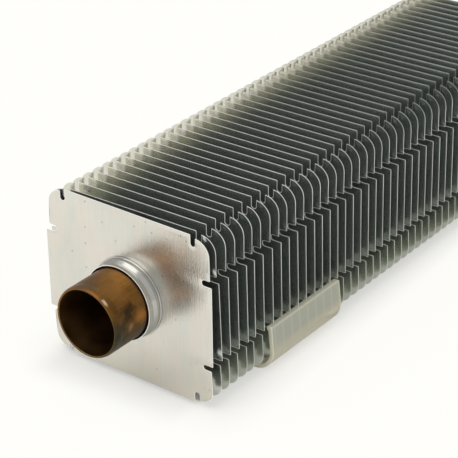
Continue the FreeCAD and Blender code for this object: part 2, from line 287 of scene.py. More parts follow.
def relief(tree, shader, height, strength, distance):
    """Bump from a height mask; distance is in metres."""
    bump = node(tree, "ShaderNodeBump",
                {"Height": height, "Strength": strength, "Distance": distance})
    tree.links.new(bump.outputs["Normal"], shader.inputs["Normal"])


print("helpers: effect, ramp, from_axis, roughness_between, relief")

# %% [markdown]
# ## Rolled aluminium
# Fin stock comes off the coil with a fine rolling grain. It is bare metal, so its look is almost
# all reflection: deep between two fins it mirrors only other fins and goes dark, near an open side
# it mirrors the bright room. That is why the material is plain metal with a moderate roughness.
# Some shade and light are still painted into its tones, where said below.
#
# The front fin is the one that gets touched, so it has pits and faint blushes. The die has
# burnished its collar, which is smoother than the sheet and has no grain. The collar's darker grey
# and the darker, warmer tone towards the bottom of the sheet are painted shade.

# %% Finish of the front fin
COLLAR_OUTER, COLLAR_INNER = 13.0, 12.3
front_sheet, tree, shader, place = new_material("rolled aluminium, handled", Metallic=0.93)
grain = effect(tree, grain_group, Place=place, Fineness=(4200.0, 4200.0, 110.0))
streak = effect(tree, grain_group, Place=place, Fineness=(1500.0, 1500.0, 45.0))
blush = effect(tree, grain_group, Place=place, Fineness=(230.0, 230.0, 75.0))
cloud = effect(tree, cloud_group, Place=place, Scale=70.0, Contrast=2.2)
large_pits = effect(tree, speck_group, Place=place, Scale=160.0, Size=0.09, Share=0.6)
small_pits = effect(tree, speck_group, Place=place, Scale=420.0, Size=0.22, Share=0.5)
pits = maths(tree, "MAXIMUM", large_pits, small_pits)
# Painted shade: towards the bottom the sheet is painted darker and warmer, for the shaded floor
# that it mirrors there.
painted_low_shade = ramp(tree, axes(tree, place)["Z"], (AXIS - 6) * MM, (AXIS - 26) * MM)
on_collar = ramp(tree, from_axis(tree, place), COLLAR_OUTER * MM, COLLAR_INNER * MM)
on_sheet = maths(tree, "SUBTRACT", 1.0, on_collar)
tone = mix_colour(tree, cloud, (0.67, 0.665, 0.61), (0.75, 0.745, 0.685))
tone = overlay(tree, tone, ramp(tree, blush, 0.36, 0.64), 0.45, (0.79, 0.70, 0.62))
tone = overlay(tree, tone, painted_low_shade, 0.6, (0.64, 0.61, 0.52))
tone = overlay(tree, tone, ramp(tree, streak, 0.36, 0.64), 0.20, (0.60, 0.60, 0.56))
tone = overlay(tree, tone, pits, 0.85, (0.16, 0.15, 0.13))
# Painted shade: the collar is painted a darker grey, for the darker room that it mirrors.
tone = overlay(tree, tone, on_collar, 0.95, (0.44, 0.44, 0.42))
tree.links.new(tone, shader.inputs["Base Color"])
worn = maths(tree, "ADD", maths(tree, "MULTIPLY", grain, 0.4), 0.6)
roughness_between(tree, shader, maths(tree, "MULTIPLY", worn, on_sheet), 0.17, 0.26)
ridges = maths(tree, "MULTIPLY", grain, on_sheet)
relief(tree, shader, maths(tree, "SUBTRACT", ridges, maths(tree, "MULTIPLY", pits, 0.4)),
       0.45, 0.0001)
print("finish of the front fin: %s" % front_sheet.name)

# %% [markdown]
# ## Its back, the other fins and the cut edges
# The gap behind the front fin is the darkest one, so its back is painted dark and dull: painted
# shade. The sheets of the row are lighter and greener in the depth, and paler at the open side,
# which is a painted reflection of the bright room. Their tops are painted a little darker, as
# painted shade, and so are the upper cut edges away from the front.

# %% Finish of the front fin's back
shaded_back_sheet, tree, shader, place = new_material("rolled aluminium, painted dark back", Metallic=1.0)
back_cloud = effect(tree, cloud_group, Place=place, Scale=80.0, Contrast=2.0)
# Painted shade: the back's dark tone stands for the dark gap behind the front fin.
tree.links.new(mix_colour(tree, back_cloud, (0.22, 0.24, 0.22), (0.32, 0.34, 0.31)),
               shader.inputs["Base Color"])
roughness_between(tree, shader, back_cloud, 0.24, 0.34)
print("finish of its back: %s" % shaded_back_sheet.name)

# %% Finish of the other fins
fin_sheet, tree, shader, place = new_material("rolled aluminium", Metallic=0.97)
grain = effect(tree, grain_group, Place=place, Fineness=(2600.0, 400.0, 90.0))
cloud = effect(tree, cloud_group, Place=place, Scale=45.0, Contrast=1.4)
dust = effect(tree, speck_group, Place=place, Scale=600.0, Size=0.3, Share=0.05)
at = axes(tree, place)
towards_floor = ramp(tree, at["Z"], (AXIS - 12) * MM, (AXIS - 23) * MM)
painted_top_shade = ramp(tree, at["Z"], (AXIS + 19) * MM, (AXIS + 24) * MM)
painted_open_side_light = ramp(tree, at["X"], -0.008, -0.026)
tone = mix_colour(tree, cloud, (0.60, 0.64, 0.615), (0.65, 0.69, 0.66))
tone = mix_colour(tree, towards_floor, tone, (0.63, 0.655, 0.585))
# Painted shade: the tops of the sheets are painted darker.
tone = overlay(tree, tone, painted_top_shade, 0.45, (0.47, 0.50, 0.48))
# Painted reflection: towards the open left side the sheets are painted paler and creamier, for the
# bright room that they mirror.
tone = mix_colour(tree, painted_open_side_light, tone, (0.70, 0.69, 0.61))
tone = overlay(tree, tone, dust, 0.5, (0.85, 0.82, 0.72))
tree.links.new(tone, shader.inputs["Base Color"])
roughness_between(tree, shader, grain, 0.22, 0.26)
print("finish of the other fins: %s" % fin_sheet.name)

# %% Finish of the cut edges
cut_edge, tree, shader, place = new_material("sheared aluminium", Metallic=0.15)
nicks = effect(tree, cloud_group, Place=place, Scale=900.0, Contrast=2.6)
at = axes(tree, place)
painted_far_edge_shade = maths(tree, "MULTIPLY", ramp(tree, at["Y"], -0.07, 0.03),
              ramp(tree, at["Z"], (AXIS + 20) * MM, (AXIS + 25) * MM))
tone = mix_colour(tree, nicks, (0.93, 0.935, 0.90), (0.985, 0.985, 0.955))
# Painted shade: the upper cut edges away from the front are painted dark.
tone = mix_colour(tree, painted_far_edge_shade, tone, (0.33, 0.345, 0.31))
tree.links.new(tone, shader.inputs["Base Color"])
roughness_between(tree, shader, nicks, 0.34, 0.5)
relief(tree, shader, nicks, 0.2, 0.00002)
print("finish of the cut edges: %s" % cut_edge.name)

# %% [markdown]
# ## Tarnished copper
# The tube has been handled and has lain about. Its skin runs from a dark chocolate brown to orange
# where it has been rubbed, and turns olive low down. The cutter rolled the rim, and a painted
# highlight lies on it. A painted shade darkens the tube under the collar lip, and the bore, the
# darkest place, is painted a lighter tan, as painted light.
#
# Each stain is put where the real one is, and two entries are no stains but a painted highlight
# and a painted shade. The numbers of each are its centre, as (x, distance from the tube's end,
# height over the axis) in millimetres, then its size in millimetres, how much it is squeezed along
# the tube, how strong it is, and its colour.

# %% Finish of the tube
STAINS = {
    "dull band behind the rim": ((-1.5, 2.6, 11.0), 7.0, 1.0, 0.55, (0.085, 0.066, 0.042)),
    "rubbed on top": ((5.6, 7.0, 9.7), 5.5, 0.8, 0.4, (0.34, 0.16, 0.045)),
    "dark stain": ((10.4, 6.4, 3.6), 5.4, 1.0, 0.95, (0.035, 0.026, 0.014)),
    "olive along the rim": ((11.0, 1.5, -1.0), 9.0, 1.8, 1.0, (0.032, 0.032, 0.018)),
    "bare by the collar": ((11.0, 10.9, 0.9), 3.3, 0.9, 0.8, (0.40, 0.165, 0.042)),
    # Painted shade: a dark band on the tube under the collar lip.
    "painted shade under the collar lip": ((7.0, 15.5, 8.0), 14.0, 4.0, 0.7, (0.10, 0.075, 0.05)),
    "pale spot": ((11.1, 6.4, -0.4), 2.0, 1.2, 0.8, (0.30, 0.17, 0.09)),
    # Painted highlight: a bright streak along the rolled rim.
    "painted highlight on the rim": ((6.8, 0.8, 8.8), 1.8, 2.6, 0.65, (0.97, 0.80, 0.60))}
BORE_EDGE, BORE_FACE = 10.6, 10.4
copper, tree, shader, place = new_material("tarnished copper", Metallic=1.0)
strokes = effect(tree, grain_group, Place=place, Fineness=(1900.0, 70.0, 1900.0))
strokes = ramp(tree, strokes, 0.30, 0.70)
cloud = effect(tree, cloud_group, Place=place, Scale=130.0, Contrast=3.4)
blotch = effect(tree, cloud_group, Place=place, Scale=55.0, Contrast=3.0)
pits = effect(tree, speck_group, Place=place, Scale=520.0, Size=0.32, Share=0.12)
low_side = ramp(tree, axes(tree, place)["Z"], (AXIS + 5) * MM, (AXIS - 6) * MM)
painted_bore_light = ramp(tree, from_axis(tree, place), BORE_EDGE * MM, BORE_FACE * MM)
tone = mix_colour(tree, cloud, (0.15, 0.066, 0.014), (0.31, 0.132, 0.026))
tone = overlay(tree, tone, blotch, 0.6, (0.10, 0.062, 0.028))
tone = overlay(tree, tone, strokes, 0.18, (0.42, 0.21, 0.05))
tone = overlay(tree, tone, low_side, 0.9, (0.052, 0.042, 0.022))
for (x, from_end, z), size, squeeze, amount, colour in STAINS.values():
    stain = effect(tree, patch_group, Place=place, Size=size * MM, Squeeze=(1, squeeze, 1),
                   Centre=(x * MM, (from_end - TUBE_END) * MM, (AXIS + z) * MM))
    tone = overlay(tree, tone, stain, amount, colour)
tone = overlay(tree, tone, pits, 0.7, (0.06, 0.04, 0.03))
# Painted light: the bore is painted a lighter tan, which lifts the shade inside the tube.
tone = overlay(tree, tone, painted_bore_light, 0.6, (0.31, 0.18, 0.07))
tree.links.new(tone, shader.inputs["Base Color"])
roughness_between(tree, shader, cloud, 0.30, 0.46)
relief(tree, shader, maths(tree, "SUBTRACT", strokes, pits), 0.3, 0.00003)
print("finish of the tube: %s, with %d stains" % (copper.name, len(STAINS)))

# %% [markdown]
# ## Natural nylon
# The glides are moulded in nylon without any pigment. It is milky and lets some light through:
# the side wall looks greyer where the dark fins stand close behind it, with a faint pale line at
# each fin's edge, and warmer low down, where there is only the floor behind. The wall is partly
# see-through, less so at its two ends, where one looks into the thickness of the wall. The bands
# are added to its colour, so they stay in place from every side.

# %% Bands of the nylon by height
nylon, tree, shader, place = new_material("natural nylon", IOR=1.53)
flow = effect(tree, cloud_group, Place=place, Scale=90.0, Contrast=1.8)
dust = effect(tree, speck_group, Place=place, Scale=700.0, Size=0.3, Share=0.08)
at = axes(tree, place)
over_fins = ramp(tree, at["Z"], (AXIS - 22) * MM, (AXIS - 18.5) * MM)
painted_rim_highlight = ramp(tree, at["Z"], (AXIS - 13.9) * MM, (AXIS - 13.3) * MM)
underside = ramp(tree, at["Z"], (AXIS - 24) * MM, (AXIS - 28) * MM)
print("%s: a band at its rim, one over the fins and one below" % nylon.name)

# %% The fins' edges that show through
# The band's place and width are shares of one pitch.
FIN_BAND, FIN_BAND_WIDTH = 0.15, 0.13
since_first = maths(tree, "SUBTRACT", at["Y"], (SECOND_FIN - 0.6) * MM)
since_fin = maths(tree, "FRACT", maths(tree, "DIVIDE", since_first, PITCH * MM))
from_band = maths(tree, "ABSOLUTE", maths(tree, "SUBTRACT", since_fin, FIN_BAND))
fin_line = ramp(tree, from_band, FIN_BAND_WIDTH, 0.03)
upwards = node(tree, "ShaderNodeMapRange",
               {"Value": at["Z"], "From Min": (AXIS - 26) * MM, "From Max": (AXIS - 20) * MM,
                "To Min": 0.10, "To Max": 0.42}).outputs["Result"]
print("a pale line every %.2f mm" % PITCH)

# %% The two ends of each glide
END_DEPTH, END_FULL = 0.6, 0.1
glide_near, glide_far = (corner[1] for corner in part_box("glide_front_right"))
glide_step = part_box("glide_rear_right")[0][1] - glide_near
glide_run = glide_far - glide_near
along = maths(tree, "MODULO", maths(tree, "SUBTRACT", at["Y"], glide_near), glide_step)
at_end = maths(tree, "MAXIMUM", ramp(tree, along, END_DEPTH * MM, END_FULL * MM),
               ramp(tree, along, glide_run - END_DEPTH * MM, glide_run))
print("glides are %.1f mm long and %.1f mm apart" % (glide_run / MM, glide_step / MM))

# %% Colour and gloss of the nylon
tone = mix_colour(tree, flow, (0.65, 0.61, 0.46), (0.73, 0.69, 0.54))
tone = overlay(tree, tone, over_fins, 0.7, (0.47, 0.515, 0.445))
tone = mix_colour(tree, maths(tree, "MULTIPLY", fin_line, upwards), tone, (0.74, 0.71, 0.60))
# Painted highlight: the glide's top rim is painted lighter.
tone = overlay(tree, tone, painted_rim_highlight, 0.8, (0.80, 0.77, 0.63))
tone = overlay(tree, tone, underside, 0.6, (0.66, 0.62, 0.43))
tone = overlay(tree, tone, at_end, 0.85, (0.84, 0.81, 0.63))
tone = overlay(tree, tone, dust, 0.5, (0.35, 0.32, 0.25))
tree.links.new(tone, shader.inputs["Base Color"])
tree.links.new(maths(tree, "ADD", maths(tree, "MULTIPLY", at_end, 0.33), 0.62),
               shader.inputs["Alpha"])
roughness_between(tree, shader, flow, 0.36, 0.5)
relief(tree, shader, flow, 0.15, 0.0001)
print("finish of the glides: %s" % nylon.name)

# %% [markdown]
# ## Lines with rounded corners
# The edge of a fin and the section of its collar are both lines with rounded corners. One helper
# draws them: each corner has a radius and a number of steps round it.

# %% Helper for rounded lines
def rounded(corners, closed=True):
    """Points of a line through corners (x, z, radius, steps), rounded at each."""
    points = []
    last = len(corners) - 1
    for i, (x, z, radius, steps) in enumerate(corners):
        here = Vector((x, z))
        if radius == 0 or (not closed and i in (0, last)):
            points.append(here)
            continue
        before = (Vector(corners[i - 1][:2]) - here).normalized()
        after = (Vector(corners[(i + 1) % len(corners)][:2]) - here).normalized()
        half = before.angle(after) / 2
        centre = here + (before + after).normalized() * (radius / math.sin(half))
        first = here + before * (radius / math.tan(half)) - centre
        final = here + after * (radius / math.tan(half)) - centre
        begin = math.atan2(first.y, first.x)
        sweep = (math.atan2(final.y, final.x) - begin + math.pi) % (2 * math.pi) - math.pi
        for step in range(steps + 1):
            angle = begin + sweep * step / steps
            points.append(centre + Vector((math.cos(angle), math.sin(angle))) * radius)
    return [p for i, p in enumerate(points) if i == 0 or (p - points[i - 1]).length > 0.001]


square = [(1, 1, 0.2, 3), (1, -1, 0.2, 3), (-1, -1, 0.2, 3), (-1, 1, 0.2, 3)]
print("as a trial, a square with four rounded corners has %d points" % len(rounded(square)))

# %% [markdown]
# ## The edge of a fin
# Each fin is stamped with two slots at every corner, and the corner between them is a lobe that
# stands a little back from the straight stretches. Drawing a quarter and mirroring it keeps the
# four corners alike.

# %% Outline of a fin
HALF_WIDTH, HALF_HEIGHT = 30.95, 27.5
LOBE_X, LOBE_Z = 30.15, 26.7
SLOT_X, SLOT_Z = 23.5, 12.9
SLOT_WIDTH, SLOT_DEPTH = 1.7, 3.6
SMALL_ROUND = 0.3


def fin_outline(lobe_steps, slot_steps):
    """The closed edge of a fin, in millimetres from the tube's axis."""
    bend = SLOT_WIDTH / 2
    floor_z = HALF_HEIGHT - SLOT_DEPTH
    floor_x = HALF_WIDTH - SLOT_DEPTH
    far_x, far_z = SLOT_X + SLOT_WIDTH, SLOT_Z + SLOT_WIDTH
    quarter = [(SLOT_X, HALF_HEIGHT, SMALL_ROUND, 2),
               (SLOT_X, floor_z, bend, slot_steps), (far_x, floor_z, bend, slot_steps),
               (far_x, LOBE_Z, 0, 1),
               (LOBE_X, LOBE_Z, LOBE_X - far_x, lobe_steps),
               (LOBE_X, far_z, SMALL_ROUND, 2),
               (floor_x, far_z, bend, slot_steps), (floor_x, SLOT_Z, bend, slot_steps),
               (HALF_WIDTH, SLOT_Z, SMALL_ROUND, 2)]
    below = [(x, -z, r, n) for x, z, r, n in reversed(quarter)]
    right_half = quarter + below
    left_half = [(-x, z, r, n) for x, z, r, n in reversed(right_half)]
    return rounded(right_half + left_half)


front_outline = fin_outline(lobe_steps=14, slot_steps=6)
row_outline = fin_outline(lobe_steps=7, slot_steps=4)
print("a fin's edge has %d points in front, %d in the row"
      % (len(front_outline), len(row_outline)))

# %% [markdown]
# ## The collar
# The die draws the middle of the sheet forward into a collar. It rises steeply as a neck, swells
# to a low bead, narrows to a shallow waist and opens again at its lip. It is one thin wall, so its
# section is a line that is turned round the tube, and the wall gets its thickness later, together
# with the sheet. In the row the lip of each fin stops at the fin before it, so the collars there
# are a little shorter than the one in front.

# %% Section of the collar
NECK, BEAD, WAIST, LIP = 12.0, 12.35, 11.6, 11.95
BEAD_HEIGHT, WAIST_HEIGHT, LIP_HEIGHT = 1.7, 3.3, 4.9
FLAT_MARGIN = 1.4
ROW_SHARE = 0.8


def collar_line(steps, share):
    """Front side of the collar as (radius, distance in front of the sheet)."""
    corners = [(NECK + FLAT_MARGIN, 0.0, 0, 1),
               (NECK, 0.0, 0.35, steps),
               (BEAD, BEAD_HEIGHT * share, 0.45, steps),
               (WAIST, WAIST_HEIGHT * share, 1.6, steps),
               (LIP, LIP_HEIGHT * share, 0, 1)]
    return rounded(corners, closed=False)


front_collar = collar_line(5, 1)
row_collar = collar_line(1, ROW_SHARE)
print("a collar's line has %d points in front, %d in the row"
      % (len(front_collar), len(row_collar)))

# %% [markdown]
# ## One skin for sheet and collar
# The sheet is filled with triangles between its outer edge and the circle where the collar
# starts. A grid of points inside lets it bend. The collar's rings join on at the circle, and a
# Solidify modifier gives the whole skin the gauge of the sheet, with a closed cut edge.

# %% The edge that the punch rolls over
ROLL_WIDTH, ROLL_DEPTH = 0.12, 0.05


def inset(outline, distance):
    """The same closed line, moved inwards by a distance."""
    moved = []
    for i, here in enumerate(outline):
        before = (here - outline[i - 1]).normalized()
        after = (outline[(i + 1) % len(outline)] - here).normalized()
        inward = Vector((before.y + after.y, -before.x - after.x)).normalized()
        lean = max(0.5, math.cos(before.angle(after) / 2))
        moved.append(here + inward * (distance / lean))
    return moved


print("the rolled edge is %.2f mm wide and %.2f mm deep" % (ROLL_WIDTH, ROLL_DEPTH))

# %% Helpers that build a mesh
def grid_inside(ring, start, grid):
    """Points of a grid that lie between a ring and a circle, clear of both."""
    room = grid * 0.45
    columns, rows = int(HALF_WIDTH / grid), int(HALF_HEIGHT / grid)
    inner = []
    for column in range(-columns, columns + 1):
        for row in range(-rows, rows + 1):
            spot = Vector((column * grid, row * grid))
            clear = min((spot - p).length for p in ring) > room
            if clear and spot.length > start + room:
                inner.append(spot)
    return inner


def bridge(mesh, rings):
    """Faces between each ring of corners and the next."""
    for near, far in zip(rings, rings[1:]):
        for i in range(len(near)):
            j = (i + 1) % len(near)
            mesh.faces.new((near[i], near[j], far[j], far[i]))


def built(mesh, name):
    """What has been built, as a mesh of Blender's."""
    made = bpy.data.meshes.new(name)
    mesh.to_mesh(made)
    mesh.free()
    return made


print("helpers: grid_inside, bridge, built")


# %% Build the skin of a fin
def fin_skin(name, outline, line, grid, around):
    """A fin as an open skin facing -Y, in millimetres about its own centre."""
    start = line[0].x
    ring = inset(outline, ROLL_WIDTH)
    round_angles = [2 * math.pi * i / around for i in range(around)]
    circle = [Vector((start * math.cos(a), start * math.sin(a))) for a in round_angles]
    total = len(outline)
    edge_loop = [(i, (i + 1) % total) for i in range(total)]
    hole_loop = [(total + i, total + (i + 1) % around) for i in range(around)]
    flat_points = ring + circle + grid_inside(ring, start, grid)
    points, _, faces, *_ = geometry.delaunay_2d_cdt(flat_points, edge_loop + hole_loop,
                                                    [], 1, 1e-4)
    mesh = bmesh.new()
    corners = [mesh.verts.new((p.x, 0, p.y)) for p in points]
    for face in faces:
        if max(points[i].length for i in face) > start + 0.01:
            mesh.faces.new([corners[i] for i in face])
    inner_edge = [mesh.verts.new((p.x, 0, p.y)) for p in ring]
    outer_edge = [mesh.verts.new((p.x, ROLL_DEPTH, p.y)) for p in outline]
    for i in range(total):
        j = (i + 1) % total
        rolled = mesh.faces.new((inner_edge[i], inner_edge[j], outer_edge[j], outer_edge[i]))
        rolled.material_index = 1
    rings = [[mesh.verts.new((step.x * math.cos(a), -step.y, step.x * math.sin(a)))
              for a in round_angles] for step in line]
    bridge(mesh, rings)
    bmesh.ops.remove_doubles(mesh, verts=mesh.verts, dist=0.005)
    bmesh.ops.recalc_face_normals(mesh, faces=mesh.faces)
    if sum(f.normal.y * f.calc_area() for f in mesh.faces) > 0:
        bmesh.ops.reverse_faces(mesh, faces=mesh.faces)
    return built(mesh, name)


trial = fin_skin("trial skin", row_outline, row_collar, grid=7.0, around=24)
print("as a trial, a light fin's skin has %d faces" % len(trial.polygons))
bpy.data.meshes.remove(trial)


# %% Helpers that work the modifiers in
def settled(item, name):
    """The item's mesh with its modifiers worked in, as a new plain mesh."""
    bpy.context.view_layer.update()
    seen = item.evaluated_get(bpy.context.evaluated_depsgraph_get())
    mesh = bpy.data.meshes.new_from_object(seen)
    mesh.name = name
    return mesh


def new_object(name, mesh):
    """An object for a mesh, in the scene."""
    item = bpy.data.objects.new(name, mesh)
    bpy.context.scene.collection.objects.link(item)
    return item


def thickened(skin, name, finishes):
    """Give a skin the sheet's gauge; finishes are those of its front, cut edge and back."""
    for finish in finishes:
        skin.materials.append(finish)
    item = new_object(name + "_skin", skin)
    wall_maker = item.modifiers.new("wall", "SOLIDIFY")
    wall_maker.thickness = GAUGE * MM
    wall_maker.offset = -1
    wall_maker.use_even_offset = True
    wall_maker.material_offset = 2
    wall_maker.material_offset_rim = 1
    mesh = settled(item, name)
    bpy.data.objects.remove(item)
    return mesh


print("helpers: settled, new_object, thickened")

# %% Helper that keeps a finished piece
SMOOTH_BELOW = math.radians(35)


def kept(name, mesh, nodes):
    """Make the finished piece: it rides with the element and stands for its solids."""
    mesh.name = name
    mesh.shade_smooth()
    mesh.set_sharp_from_angle(angle=SMOOTH_BELOW)
    item = new_object(name, mesh)
    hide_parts(*nodes)
    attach(item, "root")
    triangles = sum(len(p.vertices) - 2 for p in mesh.polygons)
    print("%s: %d triangles" % (name, triangles))


print("edges that turn by less than %.0f degrees look smooth" % math.degrees(SMOOTH_BELOW))

# %% [markdown]
# ## The front fin
# This is the fin that is seen best. It has been knocked a little out of true, so it leans by a
# fraction of a degree, and the thin sheet is never quite flat. Its lobes and parts of its edge
# are bent by handling. A bend is an amount times a smooth rise between two places, which are in
# millimetres from the tube's axis, so the stiff middle round the collar stays flat.

# %% Front fin
LEAN_ACROSS, LEAN_UP = -0.006, 0.009
RIPPLE, RIPPLE_LENGTH = 0.06, 16.0
SIDE_FORWARD, TOP_LEFT_BACK = 0.5, 0.65
STIFF_RADIUS = 15.4
LOBE_BACK = {(-1, 1): 0.5, (-1, -1): 0.75, (1, 1): -0.2, (1, -1): 0.0}
LOW_RIGHT_BACK, LOW_LEFT_BACK = 0.75, 0.6


def ease(value, low, high):
    """Nought below low, one above high, and a smooth rise between them."""
    share = min(1, max(0, (value - low) / (high - low)))
    return share * share * (3 - 2 * share)


def bent(x, z):
    """How far the front fin's sheet lies behind its true plane at a point.

    The two numbers in each ease are where a bend begins and where it is full, or has ended."""
    wave = noise.noise(Vector((x / RIPPLE_LENGTH, 3.7, z / RIPPLE_LENGTH)))
    away = ease(math.hypot(x, z), STIFF_RADIUS, STIFF_RADIUS + 12)
    corner = LOBE_BACK[(1 if x > 0 else -1, 1 if z > 0 else -1)]
    lobe = corner * ease(abs(x), 19, 29) * ease(abs(z), 11, 19)
    side = SIDE_FORWARD * ease(abs(x), 15, 29) * (1 - ease(abs(z), 11, 15))
    top = TOP_LEFT_BACK * ease(z, 15, 27) * ease(-x, -4, 22) * (1 - ease(-x, 22, 25))
    low = LOW_RIGHT_BACK * ease(x, 17, 28) * ease(-z, 15, 26)
    low += LOW_LEFT_BACK * ease(-x, 12, 18) * (1 - ease(-x, 22, 28)) * ease(-z, 16, 26)
    return LEAN_ACROSS * x + LEAN_UP * z + RIPPLE * wave * away + lobe - side + top + low


skin = fin_skin("front_fin_skin", front_outline, front_collar, grid=1.25, around=112)
for vertex in skin.vertices:
    x, y, z = vertex.co
    vertex.co = (x * MM, (FIRST_FIN + y + bent(x, z)) * MM, (AXIS + z) * MM)
front_mesh = thickened(skin, "front_fin", (front_sheet, cut_edge, shaded_back_sheet))
kept("front_fin", front_mesh, ["fin_01"])

# %% [markdown]
# ## The row of fins
# The other fins repeat, so one lighter fin is made and a Geometry Nodes tree sets it out along
# the tube. The machine spaces the fins evenly, but handling moves some of them, so each point
# of the row carries a nudge and a lean of its own. All the fins share a slight lean and bow. The
# tree adds a little random tilt and a faint bend, from a fixed seed, and gives the sheet and its
# cut edge their materials.

# %% One light fin for the row
skin = fin_skin("row_fin_skin", row_outline, row_collar, grid=7.0, around=24)
skin.transform(Matrix.Scale(MM, 4))
light_fin = thickened(skin, "row_fin", (fin_sheet, cut_edge, fin_sheet))
cut = light_fin.attributes.new("cut edge", "BOOLEAN", "FACE")
for polygon in light_fin.polygons:
    cut.data[polygon.index].value = polygon.material_index == 1
row_master = new_object("row_fin_master", light_fin)
print("one light fin: %d faces, %d of them on its cut edge"
      % (len(light_fin.polygons), sum(face.value for face in cut.data)))

# %% The tree that sets the fins out
SOCKET = "NodeSocket%s"
stack, start, stop = new_group(
    "fin row", "GeometryNodeTree",
    [("Geometry", SOCKET % "Geometry", None), ("Fin", SOCKET % "Object", None),
     ("First", FLOAT, 0.0), ("Pitch", FLOAT, 0.004), ("Height", FLOAT, 0.03),
     ("Uneven", FLOAT, 0.0), ("Tilt", FLOAT, 0.0), ("Bend", FLOAT, 0.0),
     ("Lean", VECTOR, (0, 0, 0)), ("Bow", FLOAT, 0.0),
     ("Seed", SOCKET % "Int", 7), ("Sheet", SOCKET % "Material", None),
     ("Edge", SOCKET % "Material", None)],
    [("Geometry", SOCKET % "Geometry")])
given = start.outputs
number = node(stack, "GeometryNodeInputIndex").outputs[0]
nudge = node(stack, "GeometryNodeInputNamedAttribute", {"Name": "nudge"}, data_type="FLOAT")
stray = node(stack, "FunctionNodeRandomValue",
             {2: maths(stack, "MULTIPLY", given["Uneven"], -1.0), 3: given["Uneven"],
              "Seed": given["Seed"]}, data_type="FLOAT").outputs[1]
along = maths(stack, "ADD", given["First"], maths(stack, "MULTIPLY", number, given["Pitch"]))
along = maths(stack, "ADD", maths(stack, "ADD", along, nudge.outputs[0]), stray)
fin_place = node(stack, "ShaderNodeCombineXYZ", {"Y": along, "Z": given["Height"]})
placed = node(stack, "GeometryNodeSetPosition",
              {"Geometry": given["Geometry"], "Position": fin_place.outputs[0]})
lean = node(stack, "ShaderNodeCombineXYZ", {"X": given["Tilt"], "Z": given["Tilt"]})
opposite = node(stack, "ShaderNodeVectorMath", {0: lean.outputs[0], 1: (-1, -1, -1)},
                operation="MULTIPLY")
turns = node(stack, "FunctionNodeRandomValue",
             {0: opposite.outputs[0], 1: lean.outputs[0],
              "Seed": maths(stack, "ADD", given["Seed"], 1.0)}, data_type="FLOAT_VECTOR")
shape = node(stack, "GeometryNodeObjectInfo", {"Object": given["Fin"]})
copies = node(stack, "GeometryNodeInstanceOnPoints",
              {"Points": placed.outputs[0], "Instance": shape.outputs["Geometry"],
               "Rotation": turns.outputs[0]})
whole = node(stack, "GeometryNodeRealizeInstances", {"Geometry": copies.outputs[0]})
print("the tree has %d inputs" % (len(given) - 1))

# %% A faint bend that grows towards the corners
ROW_STIFF, ROW_FREE = 17, 38
where = node(stack, "GeometryNodeInputPosition").outputs[0]
level = node(stack, "ShaderNodeCombineXYZ", {"Z": given["Height"]})
offset = node(stack, "ShaderNodeVectorMath", {0: where, 1: level.outputs[0]},
              operation="SUBTRACT")
across = node(stack, "ShaderNodeVectorMath", {0: offset.outputs[0], 1: (1, 0, 1)},
              operation="MULTIPLY")
reach = node(stack, "ShaderNodeVectorMath", {0: across.outputs[0]}, operation="LENGTH")
loose = node(stack, "ShaderNodeMapRange",
             {"Value": reach.outputs["Value"], "From Min": ROW_STIFF * MM,
              "From Max": ROW_FREE * MM})
wave = node(stack, "ShaderNodeTexNoise", {"Vector": where, "Scale": 90.0, "Detail": 1.0})
bend = maths(stack, "MULTIPLY", maths(stack, "SUBTRACT", wave.outputs["Fac"], 0.5),
             maths(stack, "MULTIPLY", loose.outputs["Result"], given["Bend"]))
print("a fin is stiff up to %d mm from the axis" % ROW_STIFF)

# %% The lean and the bow, and the materials
own_lean = node(stack, "GeometryNodeInputNamedAttribute", {"Name": "lean"},
                data_type="FLOAT_VECTOR")
lean_sum = node(stack, "ShaderNodeVectorMath", {0: own_lean.outputs[0], 1: given["Lean"]},
                operation="ADD")
slant = node(stack, "ShaderNodeVectorMath", {0: lean_sum.outputs[0], 1: across.outputs[0]},
             operation="DOT_PRODUCT")
rise = axes(stack, across.outputs[0])["Z"]
bow = maths(stack, "MULTIPLY", maths(stack, "MULTIPLY", rise, rise), given["Bow"])
lag = maths(stack, "ADD", maths(stack, "ADD", bend, bow), slant.outputs["Value"])
shift = node(stack, "ShaderNodeCombineXYZ", {"Y": lag})
bowed = node(stack, "GeometryNodeSetPosition",
             {"Geometry": whole.outputs[0], "Offset": shift.outputs[0]})
sheeted = node(stack, "GeometryNodeSetMaterial",
               {"Geometry": bowed.outputs[0], "Material": given["Sheet"]})
is_cut = node(stack, "GeometryNodeInputNamedAttribute", {"Name": "cut edge"},
              data_type="BOOLEAN")
edged = node(stack, "GeometryNodeSetMaterial",
             {"Geometry": sheeted.outputs[0], "Selection": is_cut.outputs[0],
              "Material": given["Edge"]})
stack.links.new(edged.outputs[0], stop.inputs["Geometry"])
print("the tree has %d nodes" % len(stack.nodes))

# %% Points of the row, with the nudges and leans of single fins
# The numbers count from the fin behind the front one. A lean is a slope across and upwards.
LEANS = {1: (0.004, 0, -0.018), 5: (-0.010, 0, 0.006), 6: (-0.010, 0, 0)}
NUDGES = {1: -0.1, 4: 0.08, 5: -0.25, 11: -0.09, 12: 0.26, 13: 0.08}
points = bpy.data.meshes.new("row_points")
points.from_pydata([(0, 0, 0)] * (FIN_TOTAL - 1), [], [])
offsets = points.attributes.new("nudge", "FLOAT", "POINT")
for place_number, distance in NUDGES.items():
    offsets.data[place_number - 1].value = distance * MM
leans = points.attributes.new("lean", "FLOAT_VECTOR", "POINT")
for place_number, lean_of_fin in LEANS.items():
    leans.data[place_number - 1].vector = lean_of_fin
row = new_object("row_points", points)
print("%d points, %d nudged and %d leaning" % (len(points.vertices), len(NUDGES), len(LEANS)))

